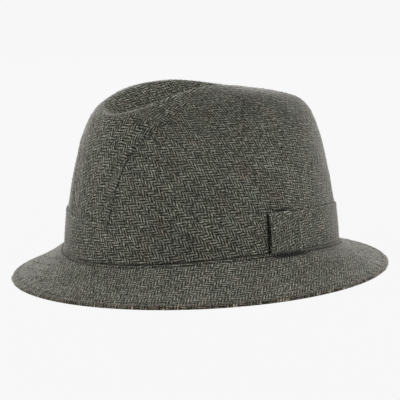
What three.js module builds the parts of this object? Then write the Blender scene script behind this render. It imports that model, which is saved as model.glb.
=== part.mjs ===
// A soft herringbone tweed hat with a dented crown, a band with a folded tab, and a sloping brim.
// Sizes are in millimetres. +X is the wearer's left, -Y is the front, +Z is up, and the brim rests on z = 0.

import * as THREE from 'three';

const GAP = 0.3;
const CROWN_CLOTH = 2;
const BRIM_CLOTH = 3;
const BAND_CLOTH = 1.2;
const BAND_HEIGHT = 27.4;
const FOOT_TUCK = GAP + BAND_CLOTH;

// The foot is the line where the band meets the brim: an ellipse, higher at the sides than at front and back.
// forward is how far the middle of a ring lies in front of the middle of the brim's edge.
const FOOT = { halfLength: 105.5, halfWidth: 88.5, forward: -1.3, height: 20.4, frontRise: 3.2, sideRise: 4 };

// The brim's edge is a larger ellipse, flat on the floor. Its flare makes the slope shallower towards the edge.
// rest is the width of the flat ring that it lies on.
const EDGE = { halfLength: 142.3, halfWidth: 125.3, thickness: 1.6, chamfer: 0.8, flare: 0.35, rest: 3.2 };

// The ridge is the closed crest round the dent: an ellipse made wider at its ends, most at the front, and
// highest at the sides.
const RIDGE = {
  halfLength: 68.6, halfWidth: 26.6, forward: 9.5, widerFront: 0.3, widerEnds: 0.25,
  height: 127, sideRise: 7.8,
};

// The keel is the lowest line of the dent, straight along the hat. The dent leaves the ridge level and comes
// level onto the keel, over these shares of the way between them.
const KEEL = { halfLength: 48, forward: 11, height: 100, frontRise: 2 };
const DENT = { fromRidge: 0.3, fromKeel: 0.4 };

// The wall leaves the foot upwards, leaning in, and comes level onto the ridge over a shoulder, which is tight
// at the front and full at the back.
const WALL = { rise: 105.4, backRise: 8.3, leanFrontBack: 0.136, leanSide: 0.083 };
const SHOULDER = { front: 5, back: 34.3 };

// A finger pinch on each side of the front pushes the wall in.
const PINCH = { depth: 2.5, angle: 0.98, angleSpread: 0.32, level: 0.487, levelSpread: 0.2 };

// The crown is laid out on a flat pattern in which the foot, the ridge and the keel are rings round two foci.
// The foot ring reaches from -1 to 1 along the hat, and the keel is the line between the foci.
const FOCUS = 0.45;
const FOOT_RING = Math.acosh(1 / FOCUS);
const RIDGE_RING = 0.3 * FOOT_RING;

// Half the width of the centre panel on that pattern, with its widest place in front of the middle.
const PANEL = { halfWidth: 0.2, bulge: 0.113, bulgeAt: 0.38, spreadFront: 0.3, spreadBack: 0.27 };

// The tab lies on the band, between two angles from the front, with one corner cut off.
const TAB = { start: 1.487, end: 1.77, cutStart: 1.71, cutDepth: 7.5, cloth: 2.6, margin: 0.5 };

const COUNTS = { ring: 76, brimSteps: 8, bandSteps: 4, panelStations: 40, panelAcross: 18, sideRows: 11, tab: 7 };

const clamp = THREE.MathUtils.clamp;
const lerp = THREE.MathUtils.lerp;

function footHeight(angle) {
  return FOOT.height + FOOT.frontRise * Math.cos(angle) - FOOT.sideRise * Math.cos(2 * angle);
}

// A point from its distances towards the front, towards the wearer's left, and up.
function place(front, left, up) {
  return new THREE.Vector3(left, -front, up);
}

function footPoint(angle) {
  const front = FOOT.forward + FOOT.halfLength * Math.cos(angle);
  return place(front, FOOT.halfWidth * Math.sin(angle), footHeight(angle));
}

// Outward direction of an ellipse, level.
function outward(angle, halfLength, halfWidth) {
  return place(Math.cos(angle) * halfWidth, Math.sin(angle) * halfLength, 0).normalize();
}

function ridgePoint(angle) {
  const along = Math.cos(angle);
  const widening = 1 + RIDGE.widerFront * along + RIDGE.widerEnds * along * along;
  const left = RIDGE.halfWidth * Math.sin(angle) * widening;
  const up = RIDGE.height - RIDGE.sideRise * Math.cos(2 * angle);
  return place(RIDGE.forward + RIDGE.halfLength * along, left, up);
}

function keelPoint(angle) {
  const along = Math.cos(angle);
  return place(KEEL.forward + KEEL.halfLength * along, 0, KEEL.height + KEEL.frontRise * along);
}

function shoulderReach(angle) {
  const backwards = 0.5 - 0.5 * Math.cos(angle);
  return lerp(SHOULDER.front, SHOULDER.back, backwards * backwards);
}

function pinchDepth(angle, level) {
  const beside = (Math.abs(angle) - PINCH.angle) / PINCH.angleSpread;
  const above = (level - PINCH.level) / PINCH.levelSpread;
  return PINCH.depth * Math.exp(-beside * beside - above * above);
}

// The wall of the crown: level runs from 0 at the foot to 1 on the ridge.
function wallPoint(angle, level) {
  const foot = footPoint(angle);
  const lean = place(-WALL.leanFrontBack * Math.cos(angle), -WALL.leanSide * Math.sin(angle), 1);
  const out = outward(angle, FOOT.halfLength, FOOT.halfWidth);
  const ridge = ridgePoint(angle);
  const curve = new THREE.CubicBezierCurve3(
    foot,
    foot.clone().addScaledVector(lean, WALL.rise - WALL.backRise * Math.cos(angle)),
    ridge.clone().addScaledVector(out, shoulderReach(angle)),
    ridge,
  );
  const point = curve.getPoint(level);
  const underBand = clamp(1 - (point.z - foot.z) / BAND_HEIGHT, 0, 2);
  return point.addScaledVector(out, -pinchDepth(angle, level) - FOOT_TUCK * underBand * underBand);
}

// The dent: depth runs from 0 on the ridge to 1 on the keel, level at both ends.
function dentPoint(angle, depth) {
  const ridge = ridgePoint(angle);
  const keel = keelPoint(angle);
  const inward = keel.clone().sub(ridge).setZ(0);
  const curve = new THREE.CubicBezierCurve3(
    ridge,
    ridge.clone().addScaledVector(inward, DENT.fromRidge),
    keel.clone().addScaledVector(inward, -DENT.fromKeel),
    keel,
  );
  return curve.getPoint(depth);
}

// A point of the crown from its ring and angle: the ring falls from FOOT_RING at the foot to 0 on the keel.
function crownPoint(ring, angle) {
  if (ring >= RIDGE_RING) {
    return wallPoint(angle, (FOOT_RING - ring) / (FOOT_RING - RIDGE_RING));
  }
  return dentPoint(angle, 1 - ring / RIDGE_RING);
}

// Ring and angle of a place on the flat pattern, from the sum and the difference of its distances to the foci.
function ringAndAngle(along, across) {
  const toFront = Math.hypot(along - FOCUS, across);
  const toBack = Math.hypot(along + FOCUS, across);
  const ring = Math.acosh(Math.max(1, (toFront + toBack) / (2 * FOCUS)));
  const angle = Math.acos(clamp((toBack - toFront) / (2 * FOCUS), -1, 1));
  return [ring, across < 0 ? -angle : angle];
}

function crownAt(along, across) {
  return crownPoint(...ringAndAngle(along, across));
}

function crownNormal(along, across) {
  const step = 0.002;
  const alongways = crownAt(along + step, across).sub(crownAt(along - step, across));
  const crossways = crownAt(along, across + step).sub(crownAt(along, across - step));
  return alongways.cross(crossways).normalize();
}

function panelHalfWidth(along) {
  const spread = along > PANEL.bulgeAt ? PANEL.spreadFront : PANEL.spreadBack;
  const beside = (along - PANEL.bulgeAt) / spread;
  return PANEL.halfWidth + PANEL.bulge * Math.exp(-beside * beside);
}

// The seam on the pattern, for a station from 0 at the front foot to 1 at the back foot.
// Stations are shared out between the wall, the end of the dent and the keel.
function seamStation(station) {
  const towardsMiddle = 1 - Math.abs(1 - 2 * station);
  let centre;
  if (towardsMiddle < 0.4) {
    centre = FOCUS * Math.cosh(lerp(FOOT_RING, RIDGE_RING, towardsMiddle / 0.4));
  } else if (towardsMiddle < 0.57) {
    centre = FOCUS * Math.cosh(lerp(RIDGE_RING, 0, (towardsMiddle - 0.4) / 0.17));
  } else {
    centre = FOCUS * Math.cos(((towardsMiddle - 0.57) / 0.43) * (Math.PI / 2));
  }
  const footRingWidth = FOCUS * Math.sinh(FOOT_RING);
  const side = station > 0.5 ? -1 : 1;
  const atFoot = Math.sqrt(1 - (panelHalfWidth(side) / footRingWidth) ** 2);
  const along = side * centre * (1 - (1 - atFoot) * centre ** 6);
  return { centre: side * centre, along, across: panelHalfWidth(along) };
}

// A cloth plate between an outer and an inner grid of points, closed round its rim.
function plateGeometry(outer, inner) {
  const rows = outer.length;
  const columns = outer[0].length;
  const points = [];
  const keys = new Map();
  const indexOf = (point) => {
    const key = point.toArray().map((value) => value.toFixed(4)).join();
    if (!keys.has(key)) {
      keys.set(key, points.length);
      points.push(point);
    }
    return keys.get(key);
  };
  const triangles = [];
  const quad = (a, b, c, d) => {
    const [i, j, k, l] = [a, b, c, d].map(indexOf);
    if (i !== j && j !== k && k !== i) triangles.push(i, j, k);
    if (i !== k && k !== l && l !== i) triangles.push(i, k, l);
  };
  for (let r = 0; r < rows - 1; r += 1) {
    for (let c = 0; c < columns - 1; c += 1) {
      quad(outer[r][c], outer[r][c + 1], outer[r + 1][c + 1], outer[r + 1][c]);
      quad(inner[r][c], inner[r + 1][c], inner[r + 1][c + 1], inner[r][c + 1]);
    }
    quad(outer[r][0], outer[r + 1][0], inner[r + 1][0], inner[r][0]);
    quad(outer[r + 1][columns - 1], outer[r][columns - 1], inner[r][columns - 1], inner[r + 1][columns - 1]);
  }
  for (let c = 0; c < columns - 1; c += 1) {
    quad(outer[0][c + 1], outer[0][c], inner[0][c], inner[0][c + 1]);
    quad(outer[rows - 1][c], outer[rows - 1][c + 1], inner[rows - 1][c + 1], inner[rows - 1][c]);
  }
  return indexedGeometry(points, triangles);
}

// A ring whose section is a closed loop of points, given for each angle, counter-clockwise seen along the ring.
function ringGeometry(sectionAt, count) {
  const sections = Array.from({ length: count }, (_, i) => sectionAt((2 * Math.PI * i) / count));
  const size = sections[0].length;
  const points = sections.flat();
  const triangles = [];
  for (let i = 0; i < count; i += 1) {
    const here = i * size;
    const next = ((i + 1) % count) * size;
    for (let j = 0; j < size; j += 1) {
      const k = (j + 1) % size;
      triangles.push(here + j, next + j, next + k);
      triangles.push(here + j, next + k, here + k);
    }
  }
  return indexedGeometry(points, triangles);
}

function indexedGeometry(points, triangles) {
  const geometry = new THREE.BufferGeometry().setFromPoints(points);
  geometry.setIndex(triangles);
  geometry.computeVertexNormals();
  return geometry;
}

// A crown panel from a grid of places on the pattern. Its seam edge is drawn back by half a gap.
function crownPanel(grid, seamColumns) {
  const outer = grid.map((row) => row.map(([along, across]) => crownAt(along, across)));
  const inner = grid.map((row, r) => row.map(([along, across], c) => (
    outer[r][c].clone().addScaledVector(crownNormal(along, across), -CROWN_CLOTH)
  )));
  for (const [column, neighbour] of seamColumns) {
    grid.forEach((row, r) => {
      const inwards = outer[r][neighbour].clone().sub(outer[r][column]);
      if (inwards.length() < GAP) return;
      inwards.setLength(GAP / 2);
      outer[r][column].add(inwards);
      inner[r][column].add(inwards);
    });
  }
  return plateGeometry(outer, inner);
}

// The centre panel: cross lines from seam to seam, bowed at the foot so that the last one follows the foot ring.
// Its columns stand closer towards the middle, where the dent is steepest.
function centrePanel() {
  const grid = [];
  for (let r = 0; r <= COUNTS.panelStations; r += 1) {
    const seam = seamStation(r / COUNTS.panelStations);
    const row = [];
    for (let c = 0; c <= COUNTS.panelAcross; c += 1) {
      const even = (2 * c) / COUNTS.panelAcross - 1;
      const across = Math.sign(even) * Math.abs(even) ** 1.25;
      row.push([lerp(seam.centre, seam.along, across * across), across * seam.across]);
    }
    grid.push(row);
  }
  return crownPanel(grid, [[0, 1], [COUNTS.panelAcross, COUNTS.panelAcross - 1]]);
}

// A side panel: lines that fan from the seam down to the foot. side is 1 for the wearer's left, -1 for the right.
function sidePanel(side) {
  const grid = [];
  const first = ringAndAngle(seamStation(0).along, seamStation(0).across)[1];
  const last = ringAndAngle(seamStation(1).along, seamStation(1).across)[1];
  for (let r = 0; r <= COUNTS.panelStations; r += 1) {
    const seam = seamStation(r / COUNTS.panelStations);
    const [seamRing, seamAngle] = ringAndAngle(seam.along, seam.across);
    const footAngle = lerp(first, last, r / COUNTS.panelStations);
    const row = [];
    for (let c = 0; c <= COUNTS.sideRows; c += 1) {
      const down = c / COUNTS.sideRows;
      const ring = lerp(seamRing, FOOT_RING, down);
      const angle = lerp(seamAngle, footAngle, down);
      row.push([FOCUS * Math.cosh(ring) * Math.cos(angle), side * FOCUS * Math.sinh(ring) * Math.sin(angle)]);
    }
    grid.push(side > 0 ? row : row.reverse());
  }
  return crownPanel(grid, [side > 0 ? [0, 1] : [COUNTS.sideRows, COUNTS.sideRows - 1]]);
}

// A point a little outside the crown's wall, at a height above the foot.
function overWall(angle, height, off) {
  let low = 0;
  let high = 1;
  for (let step = 0; step < 24; step += 1) {
    const middle = (low + high) / 2;
    if (wallPoint(angle, middle).z - footHeight(angle) < height) low = middle;
    else high = middle;
  }
  return wallPoint(angle, low).addScaledVector(outward(angle, FOOT.halfLength, FOOT.halfWidth), off);
}

function bandGeometry() {
  return ringGeometry((angle) => {
    const section = [];
    for (let j = 0; j <= COUNTS.bandSteps; j += 1) {
      section.push(overWall(angle, (BAND_HEIGHT * j) / COUNTS.bandSteps, GAP + BAND_CLOTH));
    }
    for (let j = COUNTS.bandSteps; j >= 0; j -= 1) {
      section.push(overWall(angle, (BAND_HEIGHT * j) / COUNTS.bandSteps, GAP));
    }
    return section;
  }, COUNTS.ring);
}

function tabGeometry() {
  const layer = (off) => Array.from({ length: COUNTS.tab + 1 }, (_, r) => {
    const angle = lerp(TAB.end, TAB.start, r / COUNTS.tab);
    const cut = Math.max(0, (angle - TAB.cutStart) / (TAB.end - TAB.cutStart)) * TAB.cutDepth;
    return Array.from({ length: COUNTS.tab + 1 }, (_, c) => {
      const height = lerp(TAB.margin, BAND_HEIGHT - cut, c / COUNTS.tab);
      return overWall(angle, height, off);
    });
  });
  const seat = 2 * GAP + BAND_CLOTH;
  return plateGeometry(layer(seat + TAB.cloth), layer(seat));
}

// Height of the brim's upper side, from 0 at the foot to 1 at the edge.
function brimTop(angle, out) {
  const foot = footHeight(angle) - GAP;
  return EDGE.thickness + (foot - EDGE.thickness) * (1 - out) * (1 - EDGE.flare * out);
}

// A point of the brim on its way out. inset moves it towards the middle of the hat.
function brimPoint(angle, out, up, inset = 0) {
  const halfLength = lerp(FOOT.halfLength, EDGE.halfLength, out) - inset;
  const halfWidth = lerp(FOOT.halfWidth, EDGE.halfWidth, out) - inset;
  const forward = lerp(FOOT.forward, 0, out);
  return place(forward + halfLength * Math.cos(angle), halfWidth * Math.sin(angle), up);
}

// The brim: a level collar under the crown and the band, then the slope down to the edge, flat below the edge.
function brimGeometry() {
  const collar = FOOT_TUCK + CROWN_CLOTH + 1;
  const restStart = 1 - EDGE.rest / (EDGE.halfLength - FOOT.halfLength);
  return ringGeometry((angle) => {
    const section = [];
    const collarTop = footHeight(angle) - GAP;
    for (let j = 0; j < COUNTS.brimSteps; j += 1) {
      const out = (restStart * j) / (COUNTS.brimSteps - 1);
      section.push(brimPoint(angle, out, Math.max(0, brimTop(angle, out) - BRIM_CLOTH)));
    }
    section.push(brimPoint(angle, 1, 0));
    section.push(brimPoint(angle, 1, EDGE.thickness - EDGE.chamfer));
    section.push(brimPoint(angle, 1, EDGE.thickness, EDGE.chamfer));
    for (let j = COUNTS.brimSteps - 1; j >= 0; j -= 1) {
      section.push(brimPoint(angle, j / COUNTS.brimSteps, brimTop(angle, j / COUNTS.brimSteps)));
    }
    section.push(brimPoint(angle, 0, collarTop, collar));
    section.push(brimPoint(angle, 0, collarTop - BRIM_CLOTH, collar));
    return section;
  }, COUNTS.ring);
}

function tweed(color) {
  return new THREE.MeshStandardMaterial({ color, roughness: 0.95, metalness: 0, side: THREE.FrontSide });
}

function piece(name, geometry, material) {
  const mesh = new THREE.Mesh(geometry, material);
  mesh.name = name;
  return mesh;
}

const crownTweed = tweed(0x5f625d);
const bandTweed = tweed(0x565953);
const brimTweed = tweed(0x5a5d57);

const hat = new THREE.Group();
hat.add(
  piece('crown_centre', centrePanel(), crownTweed),
  piece('crown_side_left', sidePanel(1), crownTweed),
  piece('crown_side_right', sidePanel(-1), crownTweed),
  piece('band', bandGeometry(), bandTweed),
  piece('band_tab', tabGeometry(), bandTweed),
  piece('brim', brimGeometry(), brimTweed),
);

export default hat;
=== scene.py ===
# %% [markdown]
# # A herringbone tweed trilby
#
# The hat is soft wool cloth all over: a crown sewn from three panels, a band with a folded tab, and a brim.
# Cloth shapes like these could be sculpted by hand, or simulated. Here each piece is worked out as a surface,
# a function of two parameters on a grid, because the hat is blocked to a smooth and known form, and because
# the same grid gives each piece a flat pattern. The weave is drawn on that pattern, as on the real cloth.

# %% Load the frame
import math

import bmesh
import bpy
import numpy as np
from mathutils import Matrix, Vector


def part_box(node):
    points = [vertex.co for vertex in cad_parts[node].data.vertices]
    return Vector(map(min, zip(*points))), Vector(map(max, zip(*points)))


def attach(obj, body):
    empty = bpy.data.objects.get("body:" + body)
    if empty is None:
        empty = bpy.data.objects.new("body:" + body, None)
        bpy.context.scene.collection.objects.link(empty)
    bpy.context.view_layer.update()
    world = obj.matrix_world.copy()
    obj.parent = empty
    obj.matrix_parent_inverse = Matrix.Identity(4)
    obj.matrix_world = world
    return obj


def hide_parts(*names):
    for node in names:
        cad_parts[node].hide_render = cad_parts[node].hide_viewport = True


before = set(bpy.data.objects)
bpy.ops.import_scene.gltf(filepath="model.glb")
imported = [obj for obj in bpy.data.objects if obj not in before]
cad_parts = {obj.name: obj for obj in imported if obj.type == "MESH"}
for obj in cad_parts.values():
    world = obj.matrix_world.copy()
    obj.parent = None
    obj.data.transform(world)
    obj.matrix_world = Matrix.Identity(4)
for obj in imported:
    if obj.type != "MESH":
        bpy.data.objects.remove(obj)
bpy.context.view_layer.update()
MM = 0.001

# %% [markdown]
# ## Camera and room
#
# The hat is seen from the wearer's left and a little from the front, from ten degrees above the floor.
# A long lens from far away keeps the oval of the brim as flat as in a catalogue picture.
# The camera is built from the direction it looks in, so that its height and turn stay readable numbers.

# %% Place the camera
CAMERA_AZIMUTH = math.radians(52.4)
CAMERA_ELEVATION = math.radians(9.85)
CAMERA_ROLL = math.radians(-1.04)
CAMERA_DISTANCE = 1200 * MM
CAMERA_AIM = Vector((-7.8, 4.75, 47.85)) * MM
SENSOR_WIDTH = 36
FOCAL_PER_SENSOR = 4.119


def make_camera():
    """A camera that looks at the aim from an azimuth and an elevation, then turns about its own view line."""
    flat = math.cos(CAMERA_ELEVATION)
    back = Vector((
        math.sin(CAMERA_AZIMUTH) * flat, -math.cos(CAMERA_AZIMUTH) * flat, math.sin(CAMERA_ELEVATION)))
    data = bpy.data.cameras.new("camera")
    data.sensor_width = SENSOR_WIDTH
    data.lens = SENSOR_WIDTH * FOCAL_PER_SENSOR
    camera = bpy.data.objects.new("camera", data)
    turn = back.to_track_quat("Z", "Y").to_matrix().to_4x4()
    roll = Matrix.Rotation(CAMERA_ROLL, 4, "Z")
    camera.matrix_world = Matrix.Translation(CAMERA_AIM + back * CAMERA_DISTANCE) @ turn @ roll
    bpy.context.collection.objects.link(camera)
    return camera


bpy.context.scene.camera = make_camera()
print("lens, mm:", round(bpy.context.scene.camera.data.lens, 1))

# %% [markdown]
# ## Two helpers for materials
#
# Colours are written as sRGB codes, and one function turns them to the linear light that shaders work in. One
# more adds a node with its settings and links. Sockets that share a name go by number: Map Range takes 0, the
# value, from the range 1 to 2 to the range 3 to 4, and Mix takes 0, the factor, then 2 and 3, or for colours 6
# and 7, whose mix is output 2.

# %% Colour and node helpers


def linear(code):
    """A colour written as sRGB hex, turned to the linear values that shaders work in."""
    values = [int(code[i:i + 2], 16) / 255 for i in (0, 2, 4)]
    return tuple(v / 12.92 if v <= 0.04045 else ((v + 0.055) / 1.055) ** 2.4 for v in values) + (1.0,)


def add(tree, kind, inputs=None, **settings):
    """Adds a node with its settings. inputs maps a socket to a value, an output, or a node's first output."""
    node = tree.nodes.new(kind)
    for name, value in settings.items():
        setattr(node, name, value)
    for socket, value in (inputs or {}).items():
        if isinstance(value, bpy.types.Node):
            value = value.outputs[0]
        if isinstance(value, bpy.types.NodeSocket):
            tree.links.new(value, node.inputs[socket])
        else:
            node.inputs[socket].default_value = value
    return node


def blank_material(name):
    """A node material with its output, ready for a shader."""
    material = bpy.data.materials.new(name)
    material.use_nodes = True
    material.node_tree.nodes.clear()
    return material, material.node_tree


print("sRGB 808080 is", round(linear("808080")[0], 3), "to the shaders")

# %% [markdown]
# ## Floor and light
#
# The photograph is cut out on white, so its ground has no shadow to speak of. A real table would be lit evenly
# from below, as a light table is, and the floor here glows in the same way. A plain white floor would need far
# more light than the hat can take. The hat's sides are a little brighter than its middle, so two large soft
# lamps stand at its front right and back left. One more hangs above, one behind, and the room is white.

# %% Make the floor, the lamps and the room
FLOOR_HALF = 8.0
FLOOR_GLOW = 0.925
ROOM_GLOW = 0.285
LAMP_AIM = Vector((0, 0, 0.06))


def make_floor():
    """A wide flat square just under the brim."""
    mesh = bpy.data.meshes.new("floor")
    corners = [(x * FLOOR_HALF, y * FLOOR_HALF, 0) for x, y in ((-1, -1), (1, -1), (1, 1), (-1, 1))]
    mesh.from_pydata(corners, [], [(0, 1, 2, 3)])
    floor = bpy.data.objects.new("floor", mesh)
    bpy.context.collection.objects.link(floor)
    # Opal acrylic lit from below: to the eye an even pale glow. The dark base lets no shadow show on it.
    material, tree = blank_material("opal acrylic light table")
    shader = add(tree, "ShaderNodeBsdfPrincipled", {
        "Base Color": linear("1C1C1C"), "Roughness": 0.8, "Specular IOR Level": 0.0,
        "Emission Color": linear("FFFFFF"), "Emission Strength": FLOOR_GLOW,
    })
    add(tree, "ShaderNodeOutputMaterial", {"Surface": shader})
    mesh.materials.append(material)


def make_lamp(name, place, size, power):
    """A square area lamp, pointed at the crown. place and size are in metres, power in watts."""
    data = bpy.data.lights.new(name, "AREA")
    data.size = size
    data.energy = power
    lamp = bpy.data.objects.new(name, data)
    lamp.location = place
    lamp.rotation_euler = (Vector(place) - LAMP_AIM).to_track_quat("Z", "Y").to_euler()
    bpy.context.collection.objects.link(lamp)


def make_room(strength):
    """An even white surrounding."""
    world = bpy.data.worlds.new("white room")
    world.use_nodes = True
    world.node_tree.nodes.clear()
    glow = add(world.node_tree, "ShaderNodeBackground", {"Color": linear("FFFFFF"), "Strength": strength})
    add(world.node_tree, "ShaderNodeOutputWorld", {"Surface": glow})
    bpy.context.scene.world = world


make_floor()
make_room(ROOM_GLOW)
make_lamp("lamp_front_side", place=(-0.75, -1.25, 0.8), size=0.9, power=8.0)
make_lamp("lamp_back_side", place=(0.95, 1.15, 0.6), size=0.9, power=6.5)
make_lamp("lamp_above", place=(0.1, 0.1, 1.6), size=1.2, power=6.4)
make_lamp("lamp_behind", place=(-1.3, 0.9, 0.8), size=0.9, power=11.4)
bpy.context.scene.view_settings.view_transform = "Standard"

# %% [markdown]
# ## From a grid to a closed cloth wall
#
# Every piece is cloth with two sides. A single sheet with a Solidify modifier would do, but its edges would be
# square and its weave would smear round them. Here a section goes round the cloth, out over one side, round the
# rim and back over the other, and that loop is carried along a path. The pattern coordinates go with it.

# %% Mesh helpers
WELD_DISTANCE = 1e-6


def closed_mesh(name, loops, pattern, wool_factor_with_painted_light, material, slot):
    """A solid from loops of points, carried along a path.

    loops is rows x points x 3, in mm. pattern is the flat pattern in mm, one row more where the path closes and
    one point more round the loop. wool_factor_with_painted_light holds a factor for the red, green and blue of
    the wool at each point: painted shade and painted highlights, and on the brim's edge the tints of its yarns.
    An
    open path is capped: its loops hold one side, a rim point, the other side in reverse, and a rim point. Faces
    are turned outwards by the sign of the volume that they enclose.
    """
    rows, size, _ = loops.shape
    steps = len(pattern) - 1
    row, column = np.meshgrid(np.arange(steps), np.arange(size), indexing="ij")
    next_row, next_column = (row + 1) % rows, (column + 1) % size
    quads = np.stack([
        row * size + column, row * size + next_column,
        next_row * size + next_column, next_row * size + column,
    ], -1).reshape(-1, 4)
    corners = np.stack([
        pattern[row, column], pattern[row, column + 1],
        pattern[row + 1, column + 1], pattern[row + 1, column],
    ], -2).reshape(-1, 2)
    faces = quads.tolist()
    if steps < rows:
        last = size // 2 - 2
        side = np.arange(last)
        far = 2 * last + 2 - side
        first_cap = np.stack([side + 1, side, far, far - 1], -1)
        last_cap = np.stack([side, side + 1, far - 1, far], -1) + (rows - 1) * size
        ends = [[2 * last + 2, 0, 2 * last + 3], [last, last + 2, last + 1]]
        far_ends = [[n + (rows - 1) * size for n in reversed(end)] for end in ends]
        faces += first_cap.tolist() + last_cap.tolist() + ends + far_ends
        flat = pattern[:rows, :size].reshape(-1, 2)
        more = [flat[np.array(face)] for face in faces[len(quads):]]
        corners = np.concatenate([corners] + more)
    points = loops.reshape(-1, 3)
    a, b, c, d = (points[quads[:, k]] for k in range(4))
    volume = (np.cross(b, c) * a).sum() + (np.cross(c, d) * a).sum()
    if volume < 0:
        corners = corners[::-1]
        faces = [face[::-1] for face in faces[::-1]]
    mesh = bpy.data.meshes.new(name)
    mesh.from_pydata((points * MM).tolist(), [], faces)
    layer = mesh.uv_layers.new(name="cloth")
    layer.data.foreach_set("uv", corners.astype(np.float32).ravel())
    with_painted_light = np.concatenate([np.broadcast_to(wool_factor_with_painted_light, loops.shape), np.ones((rows, size, 1))], -1)
    colours = mesh.color_attributes.new("wool_factor_with_painted_light", "FLOAT_COLOR", "POINT")
    colours.data.foreach_set("color", with_painted_light.astype(np.float32).ravel())
    build = bmesh.new()
    build.from_mesh(mesh)
    bmesh.ops.remove_doubles(build, verts=build.verts, dist=WELD_DISTANCE)
    open_edges = sum(len(edge.link_faces) != 2 for edge in build.edges)
    build.to_mesh(mesh)
    build.free()
    mesh.polygons.foreach_set("use_smooth", np.ones(len(mesh.polygons), bool))
    mesh.materials.append(material)
    piece = bpy.data.objects.new(name, mesh)
    bpy.context.collection.objects.link(piece)
    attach(piece, "root")
    print(name, "faces:", len(mesh.polygons), "open edges:", open_edges)
    return piece


def arc_lengths(points, axis):
    """Distance walked along one axis of a grid of points, from 0."""
    steps = np.linalg.norm(np.diff(points, axis=axis), axis=-1)
    start = np.zeros_like(np.take(steps, [0], axis=axis))
    return np.concatenate([start, np.cumsum(steps, axis=axis)], axis=axis)


def unit(vectors):
    """Vectors of length one."""
    return vectors / np.maximum(np.linalg.norm(vectors, axis=-1, keepdims=True), 1e-9)


def turned(across, along, angle):
    """Pattern coordinates turned so that the stripes of the cloth, at an angle to the piece, run along V."""
    u = across * math.sin(angle) - along * math.cos(angle)
    v = across * math.cos(angle) + along * math.sin(angle)
    return np.stack([u, v], -1)


quarter = np.linspace(0, math.pi / 2, 91)
arc = arc_lengths(np.stack([np.cos(quarter), np.sin(quarter)], -1), 0)
print("a quarter of a circle of radius 1, walked in 90 chords:", round(float(arc[-1]), 4))

# %% [markdown]
# ## The tweed
#
# Tweed is wool yarn, spun soft and hairy, woven in a two-and-two twill whose diagonal turns back every few
# yarns. That gives the zigzag called herringbone. A picture of cloth could be mapped on, or a few waves
# multiplied. Here each yarn is worked out: for a place on the pattern the nodes find the end (the yarn along
# the stripe) and the pick (the yarn across it), and which of the two lies on top.
#
# Ends are 0.6 mm apart, picks 0.745 mm, and a stripe is six ends wide, as on the hat. Light ends over dark
# picks show as short light strokes. Single fibres are far too fine to show, so fraying and grain are drawn in
# patches of a millimetre or more. The brim's cloth is brushed, so its wools are a little paler.

# %% Weave the cloth in nodes
END_SPACING = 0.6
PICK_SPACING = 0.745
ENDS_IN_STRIPE = 6
TWILL_REPEAT = 4
FLOAT_LENGTH = 2
YARN_WANDER, YARN_FRAY = (0.16, 1.1), (0.75, 0.75)
WOOL_BLEND = 0.15
FUZZ = 1.0
LIGHT_WOOL, DARK_WOOL = "A09F92", "2C2D27"
BRUSHED_LIGHT_WOOL, BRUSHED_DARK_WOOL = "ACAA9D", "30302A"


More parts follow.
